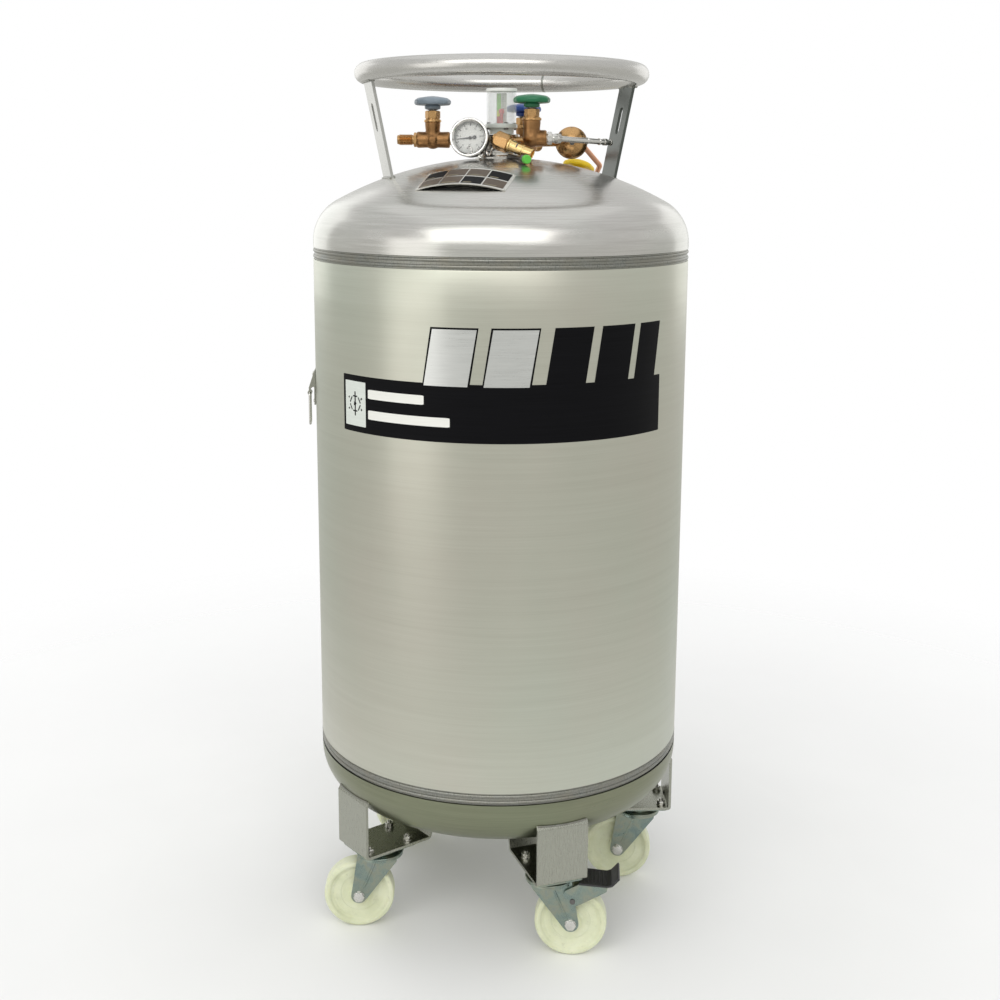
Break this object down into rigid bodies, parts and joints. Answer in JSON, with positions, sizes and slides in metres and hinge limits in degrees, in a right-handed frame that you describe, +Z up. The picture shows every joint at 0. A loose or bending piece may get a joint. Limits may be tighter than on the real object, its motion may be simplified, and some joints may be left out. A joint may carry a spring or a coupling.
{
  "type": "liquid nitrogen dewar",
  "caption": "Tall cylindrical vacuum-insulated dewar with dished heads, handling ring over its valves and gauges, and swivel casters on bent plate brackets.",
  "frame": {"origin": "on the floor, on the vessel's axis", "axes": "+Z up along the vessel's axis; -Y is the front, which carries the label; -X is the side of the vent outlet"},
  "size_m": [0.6755, 0.662, 1.5218],
  "materials": {
    "brushed_shell": "brushed stainless steel, grain running round the vessel, warm grey",
    "polished_head": "polished stainless steel with fine circular marks",
    "weld_band": "stainless weld bead, slightly darkened",
    "ring_tube": "polished stainless tube",
    "support_bar": "brushed stainless flat bar",
    "inner_steel": "mill-finish stainless steel",
    "insulation": "layered foil and glass paper",
    "support_laminate": "glass-fibre laminate",
    "copper": "copper tube, dull",
    "bronze": "cast bronze, slightly tarnished",
    "bright_brass": "machined brass",
    "fitting_steel": "bright stainless fitting",
    "gauge_black": "black painted steel, satin",
    "gauge_chrome": "plated bezel",
    "dial_white": "white dial with black marks",
    "gauge_glass": "flat clear glass",
    "needle_black": "black painted pointer",
    "level_white": "white moulded plastic",
    "clear_sleeve": "clear acrylic tube",
    "scale_colours": "printed strip in green, yellow and red zones",
    "float_red": "red indicator on a thin rod",
    "cap_green": "bright green moulded cap",
    "wheel_grey_blue": "grey-blue enamel",
    "wheel_green": "green enamel",
    "wheel_blue": "blue enamel",
    "wheel_yellow": "yellow enamel",
    "plate_silver": "anodised plate with dark panels",
    "label_film": "printed film in black with plain pale shapes",
    "bracket_steel": "brushed stainless plate with dark shaded inner faces",
    "zinc_plate": "zinc plating, blue-green tint",
    "nylon_cream": "cream cast nylon"
  },
  "bodies": {
    "vessel": {"outer_shell": "brushed_shell", "top_head": "polished_head", "bottom_head": "polished_head", "girth_welds": "weld_band", "neck_collar": "polished_head", "inner_vessel": "inner_steel", "insulation_wrap": "insulation", "neck_tube": "inner_steel", "bottom_support": "support_laminate", "pressure_coil": "copper", "dip_tube": "inner_steel", "handling_ring": "ring_tube", "ring_support_left": "support_bar", "ring_support_right": "support_bar", "manifold_block": "fitting_steel", "pipe_fittings": "bronze", "vent_valve_body": "bronze", "gas_valve_body": "bronze", "liquid_valve_body": "bronze", "build_valve_body": "bronze", "bonnet_nuts": "bright_brass", "gauge_case": "gauge_black", "gauge_bezel": "gauge_chrome", "gauge_dial": "dial_white", "gauge_lens": "gauge_glass", "level_fittings": "level_white", "level_sleeve": "clear_sleeve", "level_scale": "scale_colours", "relief_valve": "bright_brass", "regulator": "bronze", "build_line": "copper", "steel_line": "fitting_steel", "port_cap": "cap_green", "instruction_plate": "plate_silver", "front_label": "label_film", "side_bracket": "fitting_steel", "caster_brackets": "bracket_steel", "caster_top_plates": "zinc_plate", "caster_bolts": "fitting_steel"},
    "level_float": {"level_float": "float_red"},
    "vent_handwheel": {"vent_handwheel": "wheel_grey_blue"},
    "gas_handwheel": {"gas_handwheel": "wheel_green"},
    "liquid_handwheel": {"liquid_handwheel": "wheel_blue"},
    "build_handwheel": {"build_handwheel": "wheel_yellow"},
    "gauge_needle": {"gauge_needle": "needle_black"},
    "regulator_screw": {"regulator_screw": "fitting_steel"},
    "hanging_link": {"hanging_link": "fitting_steel"},
    "brake_pedal": {"brake_pedal": "zinc_plate"},
    "caster_1": {"caster_fork_1": "zinc_plate"},
    "wheel_1": {"caster_wheel_1": "nylon_cream"},
    "caster_2": {"caster_fork_2": "zinc_plate"},
    "wheel_2": {"caster_wheel_2": "nylon_cream"},
    "caster_3": {"caster_fork_3": "zinc_plate"},
    "wheel_3": {"caster_wheel_3": "nylon_cream"},
    "caster_4": {"caster_fork_4": "zinc_plate"},
    "wheel_4": {"caster_wheel_4": "nylon_cream"},
    "caster_5": {"caster_fork_5": "zinc_plate"},
    "wheel_5": {"caster_wheel_5": "nylon_cream"}
  },
  "joints": [
    {"name": "caster_1_swivel", "type": "hinge", "parent": "vessel", "child": "caster_1", "pos_m": [0.09034, -0.25231, 0.155], "axis": [0, 0, 1], "continuous": true},
    {"name": "wheel_1_roll", "type": "hinge", "parent": "caster_1", "child": "wheel_1", "pos_m": [0.12725, -0.25489, 0.0625], "axis": [0.0698, 0.9976, 0], "continuous": true},
    {"name": "caster_2_swivel", "type": "hinge", "parent": "vessel", "child": "caster_2", "pos_m": [0.26788, 0.00795, 0.155], "axis": [0, 0, 1], "continuous": true},
    {"name": "wheel_2_roll", "type": "hinge", "parent": "caster_2", "child": "wheel_2", "pos_m": [0.23097, 0.01053, 0.0625], "axis": [-0.0698, -0.9976, 0], "continuous": true},
    {"name": "caster_3_swivel", "type": "hinge", "parent": "vessel", "child": "caster_3", "pos_m": [0.07522, 0.25723, 0.155], "axis": [0, 0, 1], "continuous": true},
    {"name": "wheel_3_roll", "type": "hinge", "parent": "caster_3", "child": "wheel_3", "pos_m": [0.03831, 0.25465, 0.0625], "axis": [0.0698, -0.9976, 0], "continuous": true},
    {"name": "caster_4_swivel", "type": "hinge", "parent": "vessel", "child": "caster_4", "pos_m": [-0.22139, 0.15102, 0.155], "axis": [0, 0, 1], "continuous": true},
    {"name": "wheel_4_roll", "type": "hinge", "parent": "caster_4", "child": "wheel_4", "pos_m": [-0.18663, 0.16368, 0.0625], "axis": [-0.342, 0.9397, 0], "continuous": true},
    {"name": "caster_5_swivel", "type": "hinge", "parent": "vessel", "child": "caster_5", "pos_m": [-0.21205, -0.16389, 0.155], "axis": [0, 0, 1], "continuous": true},
    {"name": "wheel_5_roll", "type": "hinge", "parent": "caster_5", "child": "wheel_5", "pos_m": [-0.24902, -0.16518, 0.0625], "axis": [0.0349, -0.9994, 0], "continuous": true},
    {"name": "brake_pedal_tip", "type": "hinge", "parent": "caster_1", "child": "brake_pedal", "pos_m": [0.13024, -0.2551, 0.108], "axis": [0.0698, 0.9976, 0], "range_deg": [0, 15]},
    {"name": "vent_valve_turn", "type": "hinge", "parent": "vessel", "child": "vent_handwheel", "pos_m": [-0.12, 0, 1.394], "axis": [0, 0, 1], "range_deg": [0, 1080]},
    {"name": "gas_valve_turn", "type": "hinge", "parent": "vessel", "child": "gas_handwheel", "pos_m": [0.052, -0.031, 1.397], "axis": [0, 0, 1], "range_deg": [0, 1080]},
    {"name": "liquid_valve_turn", "type": "hinge", "parent": "vessel", "child": "liquid_handwheel", "pos_m": [0.03944, 0.07417, 1.386], "axis": [0, 0, 1], "range_deg": [0, 1080]},
    {"name": "build_valve_turn", "type": "hinge", "parent": "vessel", "child": "build_handwheel", "pos_m": [0.13803, 0.22972, 1.30086], "axis": [0.2095, 0.3486, 0.9135], "range_deg": [0, 1080]},
    {"name": "gauge_needle_turn", "type": "hinge", "parent": "vessel", "child": "gauge_needle", "pos_m": [-0.05, -0.036, 1.394], "axis": [-0.2059, -0.9686, 0.1392], "range_deg": [-231, 39]},
    {"name": "regulator_screw_turn", "type": "hinge", "parent": "vessel", "child": "regulator_screw", "pos_m": [0.125, 0.052, 1.391], "axis": [0, -1, 0], "range_deg": [-360, 360]},
    {"name": "hanging_link_swing", "type": "hinge", "parent": "vessel", "child": "hanging_link", "pos_m": [-0.3397, -0.02972, 0.951], "axis": [-0.0872, 0.9962, 0], "range_deg": [-6, 90]},
    {"name": "level_float_slide", "type": "slide", "parent": "vessel", "child": "level_float", "axis": [0, 0, 1], "range_m": [-0.014, 0.024]}
  ]
}
